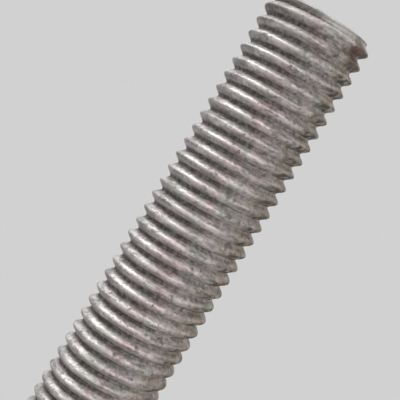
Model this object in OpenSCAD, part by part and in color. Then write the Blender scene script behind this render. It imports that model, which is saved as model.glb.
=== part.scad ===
// Threaded rod: a straight length of round steel bar, threaded from end to end and bevelled
// at both ends. It stands on one end, with +Z along its axis.
// The shank is drawn plain, at the diameter over the thread crests, which is the size that
// passes through a hole. The turns of the thread are left out of this solid.

/* [Rod] */
// Length from one end face to the other
rod_length = 152.4; // [30:0.1:400]
// Diameter over the thread crests
crest_d = 18.8; // [8:0.1:40]

/* [Ends] */
// How far each end's bevel runs in from the crests
bevel_inset = 1.0; // [0.2:0.1:2]
// Length of each end's bevel along the rod
bevel_length = 1.0; // [0.2:0.1:4]

/* [Hidden] */
$fn = 96;
crest_r = crest_d / 2;
face_r = crest_r - bevel_inset;

// Half of the section along the rod, from its axis out to the crests
module half_section() {
    polygon([
        [0, 0],
        [face_r, 0],
        [crest_r, bevel_length],
        [crest_r, rod_length - bevel_length],
        [face_r, rod_length],
        [0, rod_length]
    ]);
}

module rod() {
    color([0.52, 0.50, 0.47])
        rotate_extrude()
            half_section();
}

rod();
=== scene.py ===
"""Looks for the threaded rod: the helical thread as a real mesh, its steel, the light and the camera.

Lengths are in metres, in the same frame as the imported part: the rod stands on its bottom end,
with +Z along its axis.
"""

import math

import bpy
from mathutils import Matrix, Vector


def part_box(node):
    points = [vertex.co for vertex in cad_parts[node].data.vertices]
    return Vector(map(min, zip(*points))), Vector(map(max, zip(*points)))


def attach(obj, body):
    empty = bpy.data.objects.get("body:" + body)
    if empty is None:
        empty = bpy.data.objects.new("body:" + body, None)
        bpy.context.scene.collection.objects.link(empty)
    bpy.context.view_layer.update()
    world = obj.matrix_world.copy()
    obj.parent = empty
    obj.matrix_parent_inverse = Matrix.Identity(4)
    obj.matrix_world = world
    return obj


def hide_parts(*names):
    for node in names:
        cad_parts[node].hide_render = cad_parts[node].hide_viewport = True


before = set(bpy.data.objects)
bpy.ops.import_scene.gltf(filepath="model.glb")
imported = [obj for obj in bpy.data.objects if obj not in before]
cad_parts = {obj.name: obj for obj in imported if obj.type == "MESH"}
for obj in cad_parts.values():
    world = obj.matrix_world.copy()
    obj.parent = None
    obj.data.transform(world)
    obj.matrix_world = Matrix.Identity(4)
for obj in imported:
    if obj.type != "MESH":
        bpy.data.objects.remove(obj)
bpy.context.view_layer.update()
rod_low, rod_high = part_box("rod")
MM = 0.001

# Rod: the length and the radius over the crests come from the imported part.
ROD_LENGTH = rod_high.z - rod_low.z
CREST_RADIUS = (rod_high.x - rod_low.x) / 2
BEVEL_INSET = 1.0 * MM
BEVEL_LENGTH = 1.0 * MM

# Thread: ten turns to the inch, right-hand. Each flank stands 60 degrees from the rod's axis.
PITCH = 2.54 * MM
FLANK_SLOPE = math.sqrt(3)
THREAD_START = 0.440  # turns

# The crest and the root are rounded by a smooth maximum over this many pitches. At its middle it
# takes off a sixth of that, which leaves the thread's real depth.
CREST_ROUNDING = 0.80
ROOT_ROUNDING = 0.65
THREAD_DEPTH = PITCH * FLANK_SLOPE * (0.5 - (CREST_ROUNDING + ROOT_ROUNDING) / 6)

# Rolled steel is never quite true: slow waves, and small dents where a noise runs high.
WAVE_HEIGHT = 0.09 * MM
WAVE_SIZE = 2.2 * MM
DENT_DEPTH = 0.08 * MM
DENT_SIZE = 2.0 * MM
DENTS_FROM = (0.62, 0.78)

# Fineness of the mesh. The spare turns reach past both ends, where the end faces trim them off.
SIDES = 92
ROWS_PER_TURN = 16
ROW_CROWDING = 0.5
CAP_RINGS = 4
SPARE_TURNS = 2.0
WELD_GAP = 0.002 * MM
SHARP_ANGLE = math.radians(38)

# The rod unrolled flat, as a square map for the export: the two end discs side by side in a band
# along the bottom, and above them two strips, the lower and the upper half of the rod's length.
MAP_NAME = "OFBake"
MAP_BAND = 0.16
MAP_GAP = 0.006


class Nodes:
    """Adds nodes to one tree and joins them. A socket or a plain value can go into any input."""

    def __init__(self, tree):
        self.tree = tree

    def add(self, kind, *values, out=0, **settings):
        """One output of a new node with these values in its first inputs. None leaves an input alone."""
        node = self.tree.nodes.new(kind)
        for name, value in settings.items():
            setattr(node, name, value)
        for socket, value in zip(node.inputs, values):
            self.join(value, socket)
        return node.outputs[out]

    def join(self, value, socket):
        if value is None:
            return
        if isinstance(value, bpy.types.NodeSocket):
            self.tree.links.new(value, socket)
        else:
            socket.default_value = value

    def math(self, operation, *values, **settings):
        return self.add("ShaderNodeMath", *values, operation=operation, **settings)

    def vector(self, *values):
        return self.add("ShaderNodeCombineXYZ", *values)

    def mix(self, share, first, second, blend="MIX"):
        """A colour between two others, or the first one tinted by the second."""
        node = self.tree.nodes.new("ShaderNodeMix")
        node.data_type = "RGBA"
        node.blend_type = blend
        self.join(share, node.inputs["Factor"])
        # Inputs 6 and 7 and output 2 are the node's colours.
        for value, socket in ((first, node.inputs[6]), (second, node.inputs[7])):
            self.join((*value, 1.0) if isinstance(value, tuple) else value, socket)
        return node.outputs[2]

    def at_faces(self, value):
        """A value taken at the middle of each face in place of each point."""
        return self.add("GeometryNodeFieldOnDomain", value, domain="FACE", data_type="FLOAT")

    def between(self, value, low, high, at_low=0.0, at_high=1.0):
        """Eases from one number to another as the value goes from low to high."""
        return self.add(
            "ShaderNodeMapRange", value, low, high, at_low, at_high, interpolation_type="SMOOTHSTEP"
        )

    def noise(self, vector, scale, detail=2.0, roughness=0.5):
        node = self.tree.nodes.new("ShaderNodeTexNoise")
        self.join(vector, node.inputs["Vector"])
        self.join(scale, node.inputs["Scale"])
        self.join(detail, node.inputs["Detail"])
        self.join(roughness, node.inputs["Roughness"])
        return node.outputs["Fac"]


# ---------------------------------------------------------------- thread mesh

THREAD_INPUTS = {
    "Length": ROD_LENGTH,
    "Crest Radius": CREST_RADIUS,
    "Pitch": PITCH,
    "Crest Rounding": CREST_ROUNDING,
    "Root Rounding": ROOT_ROUNDING,
    "Thread Start": THREAD_START,
    "Wave Height": WAVE_HEIGHT,
    "Wave Size": WAVE_SIZE,
    "Dent Depth": DENT_DEPTH,
    "Dent Size": DENT_SIZE,
    "Bevel Inset": BEVEL_INSET,
    "Bevel Length": BEVEL_LENGTH,
    "Sides": SIDES,
    "Rows per Turn": ROWS_PER_TURN,
    "Row Crowding": ROW_CROWDING,
    "Cap Rings": CAP_RINGS,
}


def flat_grid(n, given):
    """A flat grid, one column for each side and one row for each step across the thread."""
    m = n.math
    turns = m("CEIL", m("DIVIDE", given["Length"], given["Pitch"]))
    body_rows = m("MULTIPLY", m("ADD", turns, SPARE_TURNS), given["Rows per Turn"])
    rows = m("ADD", body_rows, m("MULTIPLY", given["Cap Rings"], 2.0))
    grid = n.tree.nodes.new("GeometryNodeMeshGrid")
    n.join(1.0, grid.inputs["Size X"])
    n.join(rows, grid.inputs["Size Y"])
    n.join(m("ADD", given["Sides"], 1.0), grid.inputs["Vertices X"])
    n.join(m("ADD", rows, 1.0), grid.inputs["Vertices Y"])
    return grid.outputs["Mesh"], rows


def helix_height(n, given, row, around):
    """Height of a row, which climbs by one pitch for each turn and stops at the two end faces."""
    m = n.math
    # Rows crowd together at the crests and the roots.
    even = m("DIVIDE", m("SUBTRACT", row, given["Cap Rings"]), given["Rows per Turn"])
    crowd = m("MULTIPLY", m("SINE", m("MULTIPLY", even, 2 * math.tau)), given["Row Crowding"])
    across = m("SUBTRACT", even, m("DIVIDE", crowd, 2 * math.tau))
    climb = m("ADD", across, m("ADD", around, m("SUBTRACT", given["Thread Start"], SPARE_TURNS)))
    return n.add("ShaderNodeClamp", m("MULTIPLY", climb, given["Pitch"]), 0.0, given["Length"])


def thread_radius(n, given, height, around):
    """Radius of the true thread: straight flanks between a rounded crest and a rounded root."""
    m = n.math
    turned = m("ADD", around, given["Thread Start"])
    on_helix = m("SUBTRACT", m("DIVIDE", height, given["Pitch"]), turned)
    crest_side = m("WRAP", on_helix, 0.5, -0.5)
    root_side = m("SUBTRACT", 0.5, m("ABSOLUTE", crest_side))
    off_crest = m("SMOOTH_MAX", crest_side, m("MULTIPLY", crest_side, -1.0), given["Crest Rounding"])
    off_root = m("SMOOTH_MAX", root_side, m("MULTIPLY", root_side, -1.0), given["Root Rounding"])
    tip = m("DIVIDE", given["Crest Rounding"], 6.0)
    down = m("SUBTRACT", m("SUBTRACT", off_crest, tip), m("SUBTRACT", off_root, root_side))
    depth = m("MULTIPLY", m("MULTIPLY", down, given["Pitch"]), FLANK_SLOPE)
    return m("SUBTRACT", given["Crest Radius"], depth)


def sunk_by(n, given, ring):
    """How far waves and dents take the surface inwards. They never take it outwards."""
    m = n.math
    wave = n.noise(ring, scale=m("DIVIDE", 1.0, given["Wave Size"]))
    dent = n.noise(ring, scale=m("DIVIDE", 1.0, given["Dent Size"]), detail=1.0)
    dent = n.between(dent, *DENTS_FROM)
    return m("ADD", m("MULTIPLY", wave, given["Wave Height"]), m("MULTIPLY", dent, given["Dent Depth"]))


def bevel_radius(n, given, height, face_radius):
    """Radius of the cone at either end, which no point lies outside."""
    m = n.math
    to_end = m("MINIMUM", height, m("SUBTRACT", given["Length"], height))
    slope = m("DIVIDE", given["Bevel Inset"], given["Bevel Length"])
    return m("MULTIPLY_ADD", to_end, slope, face_radius)


def strip_map(n, around, up, in_top):
    """Where a point of the shank lies on the map, from its shares of a turn and of the length."""
    m = n.math
    share = m("SUBTRACT", m("MULTIPLY", up, 2.0), in_top)
    across = m("MULTIPLY_ADD", around, 0.5 - 2 * MAP_GAP, MAP_GAP)
    along = m("MULTIPLY_ADD", share, 1 - MAP_BAND - 2 * MAP_GAP, MAP_BAND + MAP_GAP)
    return n.vector(m("MULTIPLY_ADD", in_top, 0.5, across), along)


def disc_map(n, share, cosine, sine, in_top):
    """Where a point of an end face lies on the map, with the bottom face as it is seen from below."""
    m = n.math
    size = m("MULTIPLY", share, MAP_BAND / 2 - MAP_GAP)
    middle = m("MULTIPLY_ADD", in_top, 0.5, 0.25)
    upright = m("MULTIPLY", sine, m("MULTIPLY_ADD", in_top, 2.0, -1.0))
    return n.vector(
        m("MULTIPLY_ADD", size, cosine, middle),
        m("MULTIPLY_ADD", size, upright, MAP_BAND / 2),
    )


def tree_sockets(tree):
    """Names the tree's inputs and its one output."""
    for name, value in THREAD_INPUTS.items():
        kind = "NodeSocketInt" if isinstance(value, int) else "NodeSocketFloat"
        tree.interface.new_socket(name, in_out="INPUT", socket_type=kind)
    tree.interface.new_socket("Steel", in_out="INPUT", socket_type="NodeSocketMaterial")
    tree.interface.new_socket("Rod", in_out="OUTPUT", socket_type="NodeSocketGeometry")


def thread_tree():
    """A closed rod whose surface rows run along the helix, trimmed flat and bevelled at both ends."""
    tree = bpy.data.node_groups.new("threaded_rod", "GeometryNodeTree")
    tree_sockets(tree)
    n = Nodes(tree)
    m = n.math
    given = tree.nodes.new("NodeGroupInput").outputs
    grid, rows = flat_grid(n, given)

    # Each point's share of a turn, and its row counted from the middle of the bottom end face
    flat = n.add("ShaderNodeSeparateXYZ", n.add("GeometryNodeInputPosition")).node.outputs
    around = m("ADD", flat["X"], 0.5)
    counted = m("ADD", flat["Y"], m("MULTIPLY", rows, 0.5))
    row = m("ROUND", counted)
    turned = m("MULTIPLY", around, math.tau)
    cosine = m("COSINE", turned)
    sine = m("SINE", turned)

    # The worn thread inside the bevels
    height = helix_height(n, given, row, around)
    unworn = thread_radius(n, given, height, around)
    ring = n.vector(m("MULTIPLY", unworn, cosine), m("MULTIPLY", unworn, sine), height)
    worn = m("SUBTRACT", unworn, sunk_by(n, given, ring))
    face_radius = m("SUBTRACT", given["Crest Radius"], given["Bevel Inset"])
    radius = m("MINIMUM", worn, bevel_radius(n, given, height, face_radius))

    # Caps: the rows past each end close in to the axis.
    from_end = m("MINIMUM", row, m("SUBTRACT", rows, row))
    share = m("DIVIDE", from_end, given["Cap Rings"], use_clamp=True)
    reach = m("MULTIPLY", radius, share)
    place = n.vector(m("MULTIPLY", reach, cosine), m("MULTIPLY", reach, sine), height)

    # The unrolled map, stored while the grid's two side edges are still apart
    rings_in = n.at_faces(m("MINIMUM", counted, m("SUBTRACT", rows, counted)))
    on_cap = m("LESS_THAN", rings_in, given["Cap Rings"])
    in_top = m("GREATER_THAN", n.at_faces(height), m("MULTIPLY", given["Length"], 0.5))
    strip = strip_map(n, around, m("DIVIDE", height, given["Length"]), in_top)
    disc = disc_map(n, m("DIVIDE", reach, face_radius), cosine, sine, in_top)
    unrolled = n.add("GeometryNodeSwitch", on_cap, strip, disc, input_type="VECTOR")
    store = "GeometryNodeStoreNamedAttribute"
    mapped = n.add(store, grid, None, MAP_NAME, unrolled, data_type="FLOAT2", domain="CORNER")

    placed = n.add("GeometryNodeSetPosition", mapped, None, place)
    closed = n.add("GeometryNodeMergeByDistance", placed, None, WELD_GAP)
    smooth = n.add("GeometryNodeSetShadeSmooth", closed)
    real = n.add("GeometryNodeRealizeInstances", smooth)
    finished = n.add("GeometryNodeSetMaterial", real, None, given["Steel"])
    result = tree.nodes.new("NodeGroupOutput")
    n.join(finished, result.inputs["Rod"])
    return tree


def drop_empty_slots(mesh):
    """A grid starts with an empty material slot, which would be left beside the real one."""
    kept = [material for material in mesh.materials if material]
    mesh.materials.clear()
    for material in kept:
        mesh.materials.append(material)
    mesh.polygons.foreach_set("material_index", [0] * len(mesh.polygons))


def made_by(tree, name, values):
    """The plain mesh object that a geometry tree makes from these input values."""
    carrier = bpy.data.objects.new(name + "_maker", bpy.data.meshes.new(name + "_maker"))
    bpy.context.scene.collection.objects.link(carrier)
    modifier = carrier.modifiers.new("maker", "NODES")
    modifier.node_group = tree
    for item in tree.interface.items_tree:
        if item.in_out == "INPUT":
            modifier[item.identifier] = values[item.name]
    graph = bpy.context.evaluated_depsgraph_get()
    mesh = bpy.data.meshes.new_from_object(carrier.evaluated_get(graph))
    mesh.name = name
    drop_empty_slots(mesh)
    bpy.data.objects.remove(carrier)
    piece = bpy.data.objects.new(name, mesh)
    bpy.context.scene.collection.objects.link(piece)
    return piece


# ---------------------------------------------------------------- steel

# Colours of the bare metal, of what has settled on it, and of the painted shade
BRIGHT_STEEL = (0.822, 0.782, 0.778)
DULL_STEEL = (0.238, 0.224, 0.219)
PINK_TINT = (1.000, 0.862, 0.864)
GREEN_TINT = (0.880, 0.915, 0.862)
BROWN_FILM_SHADE_TINT = (0.740, 0.640, 0.505)
BROWN_FLANK_SHADE = (0.070, 0.052, 0.033)
DARK_SPECK_AND_SHADE = (0.095, 0.074, 0.058)
ROOT_GRIME_AND_SHADE = (0.045, 0.036, 0.029)
RUST = (0.118, 0.066, 0.041)
SAWN_STEEL = (0.680, 0.652, 0.630)
SKIN_TINT = (0.620, 0.602, 0.590)

# Where each finish, painted shade and painted highlight lies around the rod, by X in millimetres:
# it is weakest at the first figure and strongest at the second.
RUBBED_SHEEN_LEFT = (-6.0, -4.0)
RUBBED_SHEEN_RIGHT = (0.5, -2.0)
PINK_LEFT = (-6.0, 0.0)
PINK_RIGHT = (4.5, 0.0)
BROWN_FILM_SHADE_SIDE = (2.0, 8.8)
BROWN_FLANK_SHADE_SIDE = (5.2, 7.4)
GREY_FLANK_SHADE_SIDE = (-5.0, -7.8)
GREY_EDGE_SHADE_SIDE = (-6.5, -8.2)
SKIN_SIDE = (3.0, -2.0)
SPECKS_SIDE = (-6.0, 0.0)
ROOT_SHADE_SIDE = (7.0, -2.0)
SPARED_SIDE = (-4.5, -7.0)
BEVEL_SIDE = (-2.0, 2.0)

# Heights between which the dull skin sets in, in millimetres
SKIN_FROM = (145.4, 149.4)

# Rusty patch by the top end: its middle, the distances from there at which it ends and is full,
# and how far its edge strays from them
RUST_SPOT = (7.7 * MM, -5.3 * MM, 150.1 * MM)
RUST_EDGE = (3.2 * MM, 1.5 * MM)
RUST_RAGGED = 2.0 * MM

# Steps through the noises, so that no ridge and no layer repeats another
RIDGE_SHIFT = 3.7
TINT_SHIFT = (31.0, 7.0, 12.0)

# Saw marks on the end faces, in marks per millimetre along X, Y and Z
SAW_MARKS = (0.12, 4.5, 1.0)

# Bare metal: the shares of long streaks, short streaks and grain in its tone, the tones of the
# dull and the bright steel, and how far the rubbed band is drawn to one tone
STREAKS_SHARE = 0.45
SHORT_SHARE = 0.15
GRAIN_SHARE = 0.40
TONES = (0.35, 0.64)
RUBBED_TONE = 0.455
RUBBED_SHARE = 0.45

# Depth of the fine relief
RELIEF = 0.24 * MM


class RodPlace:
    """Where a point lies on the rod, as sockets in one shader tree. Lengths are in millimetres."""

    def __init__(self, n):
        m = n.math
        self.point = n.add("ShaderNodeTexCoord", out="Object")
        self.spot = n.add("ShaderNodeVectorMath", self.point, None, None, 1 / MM, operation="SCALE")
        self.x, y, self.z = n.add("ShaderNodeSeparateXYZ", self.spot).node.outputs
        self.to_end = m("MINIMUM", self.z, m("SUBTRACT", ROD_LENGTH / MM, self.z))

        # The nearest ridge, the way along it, and the pitches above its crest
        turn = m("DIVIDE", m("ARCTAN2", y, self.x), math.tau)
        climb = m("SUBTRACT", m("DIVIDE", self.z, PITCH / MM), m("ADD", turn, THREAD_START))
        self.ridge = m("ROUND", climb)
        self.across = m("SUBTRACT", climb, self.ridge)
        self.along = m("MULTIPLY", m("ADD", self.ridge, turn), math.tau * CREST_RADIUS / MM)

        # Share of the thread's depth, and the two flanks
        radial = m("SQRT", m("ADD", m("MULTIPLY", self.x, self.x), m("MULTIPLY", y, y)))
        self.depth = m("DIVIDE", m("SUBTRACT", CREST_RADIUS / MM, radial), THREAD_DEPTH / MM)
        under_crest = n.between(self.across, 0.16, -0.04)
        self.lower_flank = m("MULTIPLY", under_crest, n.between(self.across, -0.48, -0.36))
        over_crest = n.between(self.across, 0.0, 0.1)
        self.upper_flank = m("MULTIPLY", over_crest, n.between(self.across, 0.5, 0.38))


def along_thread(n, place, length, width, shift=0.0):
    """Noise drawn out along each turn of the thread. Its marks' length and width are in millimetres."""
    vector = n.vector(
        n.math("DIVIDE", place.along, length),
        n.math("DIVIDE", place.across, width * MM / PITCH),
        n.math("MULTIPLY_ADD", place.ridge, RIDGE_SHIFT, shift),
    )
    return n.noise(vector, scale=1.0)


class Marks:
    """The noises that the layers of the steel share. A scale is in marks per millimetre."""

    def __init__(self, n, place):
        self.mottle = n.noise(place.spot, scale=0.42, detail=3.0, roughness=0.55)
        self.blobs = n.noise(place.spot, scale=0.80, detail=1.0)
        self.specks = n.noise(place.spot, scale=0.95, roughness=0.6)
        self.grain = n.noise(place.spot, scale=1.5, detail=3.0, roughness=0.65)
        moved = n.add("ShaderNodeVectorMath", place.spot, TINT_SHIFT)
        self.tint = n.noise(moved, scale=0.30)
        self.streaks = along_thread(n, place, length=4.2, width=0.60)
        self.short_streaks = along_thread(n, place, length=1.0, width=0.50, shift=41.0)
        stretched = n.add("ShaderNodeVectorMath", place.spot, SAW_MARKS, operation="MULTIPLY")
        self.saw = n.noise(stretched, scale=1.0, detail=3.0, roughness=0.6)


def bare_metal(n, place, marks):
    """Dull and bright streaks, more even along one worn band, whose crests are lightened: partly wear,
    partly a painted highlight.
    """
    m = n.math
    short = m("MULTIPLY", marks.short_streaks, SHORT_SHARE)
    tone = m("ADD", m("MULTIPLY", marks.streaks, STREAKS_SHARE), short)
    tone = m("MULTIPLY_ADD", marks.grain, GRAIN_SHARE, tone)
    rubbed_and_sheen = m("MULTIPLY", n.between(place.x, *RUBBED_SHEEN_LEFT), n.between(place.x, *RUBBED_SHEEN_RIGHT))
    tone = n.add("ShaderNodeMix", m("MULTIPLY", rubbed_and_sheen, RUBBED_SHARE), None, tone, RUBBED_TONE)
    color = n.mix(n.between(tone, *TONES), DULL_STEEL, BRIGHT_STEEL)
    # Painted highlight, partly wear: crests in the worn band are lightened towards bright steel.
    crest = n.between(m("ABSOLUTE", place.across), 0.15, 0.02, 0.0, 0.50)
    return tone, n.mix(m("MULTIPLY", crest, rubbed_and_sheen), color, BRIGHT_STEEL)


def pink_and_green(n, place, marks, color):
    """Large soft patches of two tints. The pink is strongest on the front."""
    m = n.math
    pink = n.between(marks.tint, 0.42, 0.60, 0.20, 1.0)
    pink = m("MULTIPLY", pink, n.between(place.x, *PINK_LEFT, 0.15, 1.0))
    pink = m("MULTIPLY", pink, n.between(place.x, *PINK_RIGHT, 0.35, 1.0))
    color = n.mix(pink, color, PINK_TINT, "MULTIPLY")
    return n.mix(n.between(marks.tint, 0.50, 0.36), color, GREEN_TINT, "MULTIPLY")


def brown_film_and_shade(n, place, marks, color):
    """A patchy brown tint over one side, partly real brown soiling and partly painted shade. Blotches of
    dark brown painted shade lie on that side's lower flanks.
    """
    m = n.math
    # Painted shade, partly brown soiling: the side towards positive X is darkened and browned.
    film_and_shade = m("MULTIPLY", n.between(place.x, *BROWN_FILM_SHADE_SIDE), n.between(marks.mottle, 0.36, 0.64, 0.4, 1.0))
    color = n.mix(film_and_shade, color, BROWN_FILM_SHADE_TINT, "MULTIPLY")
    # Painted shade: lower flanks towards positive X are darkened to dark brown in blotches.
    brown_flank_shade = m("MULTIPLY", place.lower_flank, n.between(place.x, *BROWN_FLANK_SHADE_SIDE))
    brown_flank_shade = m("MULTIPLY", brown_flank_shade, n.between(marks.blobs, 0.42, 0.56, 0.45, 1.0))
    return film_and_shade, brown_flank_shade, n.mix(brown_flank_shade, color, BROWN_FLANK_SHADE)


def grey_painted_shade(n, place, color):
    """Painted shade in dark grey over the opposite side, most of it on the lower flanks and a little all
    over its outermost part.
    """
    m = n.math
    # Painted shade: lower flanks towards negative X, and all the surface furthest out that way, are
    # darkened.
    grey_shade = m("MULTIPLY", place.lower_flank, n.between(place.x, *GREY_FLANK_SHADE_SIDE, 0.0, 0.46))
    grey_shade = m("MAXIMUM", grey_shade, n.between(place.x, *GREY_EDGE_SHADE_SIDE, 0.0, 0.20))
    return n.mix(grey_shade, color, DARK_SPECK_AND_SHADE)


def dull_skin(n, place, marks, color):
    """A dull skin over the last turns by the top end."""
    m = n.math
    skin = m("MULTIPLY", n.between(place.z, *SKIN_FROM), n.between(place.x, *SKIN_SIDE))
    skin = m("MULTIPLY", skin, n.between(marks.mottle, 0.36, 0.60, 1.0, 0.5))
    return skin, n.mix(skin, color, SKIN_TINT, "MULTIPLY")


def dark_specks(n, place, marks, color):
    """Small dark specks, fainter towards negative X."""
    specks = n.between(marks.specks, 0.60, 0.70)
    specks = n.math("MULTIPLY", specks, n.between(place.x, *SPECKS_SIDE, 0.30, 0.70))
    return specks, n.mix(specks, color, DARK_SPECK_AND_SHADE)


def root_grime_and_shade(n, place, marks, color):
    """Darkening in the roots, partly real soiling and partly painted shade where each tooth shades the
    next.

    It is broken up along the thread, weaker by the ends and towards positive X, and towards negative X
    weaker on the upper flanks.
    """
    m = n.math
    rootward = m("ADD", place.depth, m("MULTIPLY_ADD", marks.streaks, 0.40, -0.20))
    reach = n.between(place.to_end, 0.1, 1.2)
    reach = m("MULTIPLY", reach, n.between(place.x, *ROOT_SHADE_SIDE, 0.20, 0.95))
    spared = m("MULTIPLY", place.upper_flank, n.between(place.x, *SPARED_SIDE))
    reach = m("MULTIPLY", reach, n.between(spared, 0.0, 1.0, 1.0, 0.55))
    # Painted shade, partly real soiling: the roots are darkened, most towards negative X.
    grime_and_shade = m("MULTIPLY", n.between(rootward, 0.60, 0.98), reach)
    root_dark = n.mix(n.between(marks.grain, 0.42, 0.62, 0.0, 0.6), ROOT_GRIME_AND_SHADE, DULL_STEEL)
    return grime_and_shade, n.mix(grime_and_shade, color, root_dark)


def bare_bevels(n, place, marks, color):
    """Bare turned metal on the bevels, most of it towards positive X."""
    m = n.math
    edge = BEVEL_LENGTH / MM
    bevel = n.between(place.to_end, edge + 0.25, edge - 0.25)
    bevel = m("MULTIPLY", bevel, n.between(place.x, *BEVEL_SIDE, 0.15, 1.0))
    bevel = m("MULTIPLY", bevel, n.between(marks.mottle, 0.40, 0.55, 0.35, 0.85))
    return n.mix(bevel, color, SAWN_STEEL)


def rusty_patch(n, place, marks, color):
    """A rusty patch near the top end, with a ragged edge."""
    m = n.math
    far = n.add("ShaderNodeVectorMath", place.point, RUST_SPOT, operation="DISTANCE", out="Value")
    ragged = m("ADD", far, m("MULTIPLY_ADD", marks.grain, 2 * RUST_RAGGED, -RUST_RAGGED))
    streaky = n.between(marks.short_streaks, 0.30, 0.60, 0.95, 0.70)
    rusty = m("MULTIPLY", n.between(ragged, *RUST_EDGE), streaky)
    return rusty, n.mix(rusty, color, RUST)


def sawn_ends(n, place, marks, color):
    """Flat ends: paler, with the saw's fine straight marks."""
    on_face = n.between(place.to_end, 0.02, 0.005)
    sawn = n.mix(n.between(marks.saw, 0.32, 0.66, 0.15, 0.80), SAWN_STEEL, DULL_STEEL)
    return on_face, n.mix(n.math("MULTIPLY", on_face, 0.8), color, sawn)


def relief_normal(n, marks, on_face):
    """The surface's normal over its fine relief: grain and streaks, and saw marks on the ends."""
    m = n.math
    height = m("ADD", m("MULTIPLY", marks.grain, 0.55), m("MULTIPLY", marks.short_streaks, 0.45))
    height = m("ADD", height, m("MULTIPLY", m("MULTIPLY", marks.saw, on_face), 0.4))
    bump = n.tree.nodes.new("ShaderNodeBump")
    n.join(1.0, bump.inputs["Strength"])
    n.join(RELIEF, bump.inputs["Distance"])
    n.join(height, bump.inputs["Height"])
    return bump.outputs["Normal"]


def steel():
    """Worn grey steel with rolling streaks along the thread, and roots darkened by soiling and painted
    shade.
    """
    material = bpy.data.materials.new("worn_steel")
    material.use_nodes = True
    shader = material.node_tree.nodes["Principled BSDF"]
    n = Nodes(material.node_tree)
    m = n.math
    place = RodPlace(n)
    marks = Marks(n, place)

    tone, color = bare_metal(n, place, marks)
    color = pink_and_green(n, place, marks, color)
    film_and_shade, brown_flank_shade, color = brown_film_and_shade(n, place, marks, color)
    color = grey_painted_shade(n, place, color)
    skin, color = dull_skin(n, place, marks, color)
    specks, color = dark_specks(n, place, marks, color)
    grime_and_shade, color = root_grime_and_shade(n, place, marks, color)
    color = bare_bevels(n, place, marks, color)
    rusty, color = rusty_patch(n, place, marks, color)
    on_face, color = sawn_ends(n, place, marks, color)
    n.join(color, shader.inputs["Base Color"])

    # Dirt and the painted shade make the metal less metallic and rougher.
    dirt_and_shade = m("MAXIMUM", m("MAXIMUM", grime_and_shade, brown_flank_shade), m("MAXIMUM", rusty, specks))
    dirt_and_shade = m("MAXIMUM", dirt_and_shade, m("MAXIMUM", m("MULTIPLY", film_and_shade, 0.6), skin))
    bare = n.between(tone, 0.40, 0.60, 0.36, 0.60)
    n.join(m("MULTIPLY", bare, m("SUBTRACT", 1.0, dirt_and_shade)), shader.inputs["Metallic"])
    rough = m("ADD", m("MULTIPLY_ADD", marks.grain, 0.16, 0.37), m("MULTIPLY", dirt_and_shade, 0.20))
    n.join(rough, shader.inputs["Roughness"])
    n.join(relief_normal(n, marks, on_face), shader.inputs["Normal"])
    return material


# ---------------------------------------------------------------- scene

FLOOR_SIZE = 20.0
FLOOR_GREY = 0.53
FLOOR_GAP = 0.02 * MM
WORLD_STRENGTH = 0.35

# Soft far lamps. The side is the angle to the right of the front and the height is the angle over
# the floor. Both, and the width, are in degrees.
SUNS = {
    "key": {"side": -98, "height": 60, "width": 35, "strength": 2.33},
    "fill": {"side": 5, "height": 30, "width": 60, "strength": 0.88},
    "back": {"side": -150, "height": 45, "width": 60, "strength": 0.31},
}

# Camera: in front of the rod, a little below its top end, rolled so the rod leans to the right.
# The lens and the sensor's width are in millimetres.
CAMERA_PLACE = Vector((0.0, -0.17184, 0.12943))
CAMERA_AIM = Vector((-0.00190, 0.0, 0.11700))
CAMERA_ROLL = math.radians(31.25)
CAMERA_LENS = 94.16
CAMERA_SENSOR = 36.0
CAMERA_NEAR = 5 * MM


def floor_paper():
    """Plain matt paper."""
    material = bpy.data.materials.new("floor_paper")
    material.use_nodes = True
    shader = material.node_tree.nodes["Principled BSDF"]
    shader.inputs["Base Color"].default_value = (FLOOR_GREY, FLOOR_GREY, FLOOR_GREY, 1)
    shader.inputs["Roughness"].default_value = 0.9
    shader.inputs["Specular IOR Level"].default_value = 0.0
    return material


def make_floor():
    """A wide square just under the rod."""
    half = FLOOR_SIZE / 2
    corners = [(-half, -half, 0), (half, -half, 0), (half, half, 0), (-half, half, 0)]
    mesh = bpy.data.meshes.new("floor")
    mesh.from_pydata(corners, [], [(0, 1, 2, 3)])
    mesh.transform(Matrix.Translation((0, 0, rod_low.z - FLOOR_GAP)))
    mesh.materials.append(floor_paper())
    floor = bpy.data.objects.new("floor", mesh)
    bpy.context.scene.collection.objects.link(floor)


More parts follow.
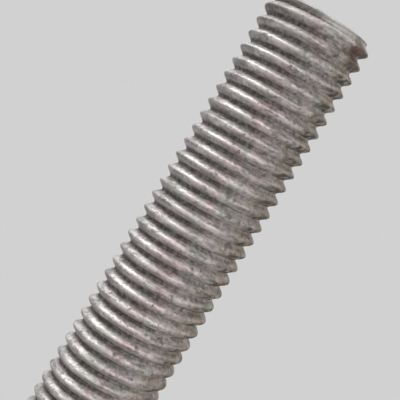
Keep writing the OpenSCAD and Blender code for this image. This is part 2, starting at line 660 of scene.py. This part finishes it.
def make_sun(name, side, height, width, strength):
    """One of the soft far lamps, with its angles in degrees."""
    side, height, width = (math.radians(angle) for angle in (side, height, width))
    data = bpy.data.lights.new(name, "SUN")
    data.energy = strength
    data.angle = width
    lamp = bpy.data.objects.new(name, data)
    level = math.cos(height)
    source = Vector((level * math.sin(side), -level * math.cos(side), math.sin(height)))
    lamp.location = source
    lamp.rotation_euler = (-source).to_track_quat("-Z", "Y").to_euler()
    bpy.context.scene.collection.objects.link(lamp)


def floor_light():
    """The lamps' light on the level floor, in the units of the world's strength."""
    shares = [sun["strength"] * math.sin(math.radians(sun["height"])) for sun in SUNS.values()]
    return sum(shares) / math.pi


def make_world():
    """Even white light. The camera, glossy rays and clear rays see a backdrop as bright as the floor."""
    backdrop = FLOOR_GREY * (floor_light() + WORLD_STRENGTH)
    world = bpy.data.worlds.new("studio")
    bpy.context.scene.world = world
    world.use_nodes = True
    background = world.node_tree.nodes["Background"].inputs
    background["Color"].default_value = (1, 1, 1, 1)
    n = Nodes(world.node_tree)
    rays = world.node_tree.nodes.new("ShaderNodeLightPath").outputs
    mirrored = n.math("MAXIMUM", rays["Is Glossy Ray"], rays["Is Transmission Ray"])
    seen = n.math("MAXIMUM", rays["Is Camera Ray"], mirrored)
    level = n.math("MULTIPLY_ADD", seen, backdrop - WORLD_STRENGTH, WORLD_STRENGTH)
    n.join(level, background["Strength"])


def make_camera():
    data = bpy.data.cameras.new("camera")
    data.sensor_width = CAMERA_SENSOR
    data.lens = CAMERA_LENS
    data.clip_start = CAMERA_NEAR
    camera = bpy.data.objects.new("camera", data)
    bpy.context.scene.collection.objects.link(camera)
    look = (CAMERA_AIM - CAMERA_PLACE).to_track_quat("-Z", "Y").to_matrix()
    turn = look @ Matrix.Rotation(CAMERA_ROLL, 3, "Z")
    camera.matrix_world = Matrix.Translation(CAMERA_PLACE) @ turn.to_4x4()
    bpy.context.scene.camera = camera


rod = made_by(thread_tree(), "threaded_rod", {**THREAD_INPUTS, "Steel": steel()})
rod.data.set_sharp_from_angle(angle=SHARP_ANGLE)
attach(rod, "root")
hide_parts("rod")

make_floor()
for sun_name, setting in SUNS.items():
    make_sun(sun_name, **setting)
make_world()
make_camera()
bpy.context.scene.view_settings.view_transform = "Standard"
